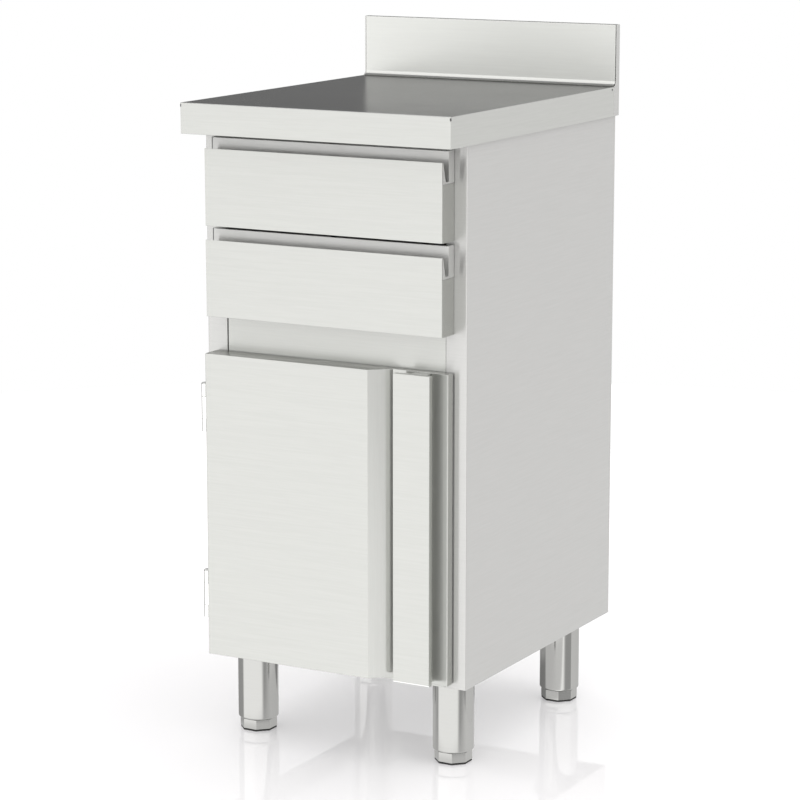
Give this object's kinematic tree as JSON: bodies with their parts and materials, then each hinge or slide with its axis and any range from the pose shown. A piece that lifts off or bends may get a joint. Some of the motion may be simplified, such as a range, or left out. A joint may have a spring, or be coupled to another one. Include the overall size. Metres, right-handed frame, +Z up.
{
  "type": "coffee machine counter",
  "caption": "Narrow stainless steel counter with a worktop and rear upstand, drawers over a hinged cupboard door, and round legs with screw feet; it carries a coffee machine.",
  "frame": {"origin": "on the floor, at the middle of the footprint's bounding box", "axes": "+Z up, -Y out of the drawer fronts and door, +X to the right as seen from the front"},
  "size_m": [0.48, 0.6, 1.147],
  "materials": {
    "steel_top": "fine brushed stainless steel, smoother and darker than the fronts because it lies flat",
    "steel_front": "fine horizontal brushed stainless steel, satin",
    "steel_side": "fine brushed stainless steel, satin",
    "steel_inner": "plain rolled stainless steel, semi-matt",
    "zinc_slide": "zinc-plated rolled steel",
    "steel_hinge": "polished stainless steel",
    "steel_leg": "smooth stainless tube, glossy",
    "rubber_black": "black rubber, matt",
    "plastic_dark": "dark moulded plastic"
  },
  "bodies": {
    "cabinet": {"worktop": "steel_top", "side_panel_left": "steel_side", "side_panel_right": "steel_side", "splash_end_cap_left": "steel_side", "splash_end_cap_right": "steel_side", "mid_rail": "steel_front", "top_rail_front": "steel_front", "bottom_panel": "steel_front", "back_panel": "steel_inner", "top_rail_rear": "steel_inner", "divider_panel": "steel_inner", "drawer_bay_side_left": "steel_inner", "drawer_bay_side_right": "steel_inner", "shelf": "steel_inner", "shelf_support_left": "steel_inner", "shelf_support_right": "steel_inner", "worktop_stiffener_front": "steel_inner", "worktop_stiffener_rear": "steel_inner", "slide_outer_upper_left": "zinc_slide", "slide_outer_upper_right": "zinc_slide", "slide_outer_lower_left": "zinc_slide", "slide_outer_lower_right": "zinc_slide", "hinge_leaf_frame_upper": "steel_hinge", "hinge_leaf_frame_lower": "steel_hinge", "hinge_pin_upper": "steel_hinge", "hinge_pin_lower": "steel_hinge", "leg_tube_front_left": "steel_leg", "leg_tube_front_right": "steel_leg", "leg_tube_rear_left": "steel_leg", "leg_tube_rear_right": "steel_leg", "magnet_catch": "plastic_dark"},
    "upper_drawer": {"drawer_front_upper": "steel_front", "drawer_pull_upper": "steel_side", "drawer_tray_upper": "steel_inner", "slide_inner_upper_left": "zinc_slide", "slide_inner_upper_right": "zinc_slide", "knock_bar": "steel_hinge", "knock_bar_sleeve": "rubber_black"},
    "lower_drawer": {"drawer_front_lower": "steel_front", "drawer_pull_lower": "steel_side", "drawer_tray_lower": "steel_inner", "slide_inner_lower_left": "zinc_slide", "slide_inner_lower_right": "zinc_slide"},
    "door": {"door_shell": "steel_front", "door_liner": "steel_inner", "door_handle": "steel_front", "hinge_leaf_door_upper": "steel_hinge", "hinge_leaf_door_lower": "steel_hinge", "catch_strike": "steel_hinge"},
    "foot_front_left": {"leg_foot_front_left": "steel_leg", "foot_sole_front_left": "rubber_black"},
    "foot_front_right": {"leg_foot_front_right": "steel_leg", "foot_sole_front_right": "rubber_black"},
    "foot_rear_left": {"leg_foot_rear_left": "steel_leg", "foot_sole_rear_left": "rubber_black"},
    "foot_rear_right": {"leg_foot_rear_right": "steel_leg", "foot_sole_rear_right": "rubber_black"}
  },
  "joints": [
    {"name": "upper_drawer_slide", "type": "slide", "parent": "cabinet", "child": "upper_drawer", "axis": [0, -1, 0], "range_m": [0, 0.38]},
    {"name": "lower_drawer_slide", "type": "slide", "parent": "cabinet", "child": "lower_drawer", "axis": [0, -1, 0], "range_m": [0, 0.38]},
    {"name": "door_hinge", "type": "hinge", "parent": "cabinet", "child": "door", "pos_m": [-0.22625, -0.26, 0.39475], "axis": [0, 0, -1], "range_deg": [0, 115]},
    {"name": "foot_screw_front_left", "type": "slide", "parent": "cabinet", "child": "foot_front_left", "axis": [0, 0, -1], "range_m": [0, 0.03]},
    {"name": "foot_screw_front_right", "type": "slide", "parent": "cabinet", "child": "foot_front_right", "axis": [0, 0, -1], "range_m": [0, 0.03]},
    {"name": "foot_screw_rear_left", "type": "slide", "parent": "cabinet", "child": "foot_rear_left", "axis": [0, 0, -1], "range_m": [0, 0.03]},
    {"name": "foot_screw_rear_right", "type": "slide", "parent": "cabinet", "child": "foot_rear_right", "axis": [0, 0, -1], "range_m": [0, 0.03]}
  ]
}
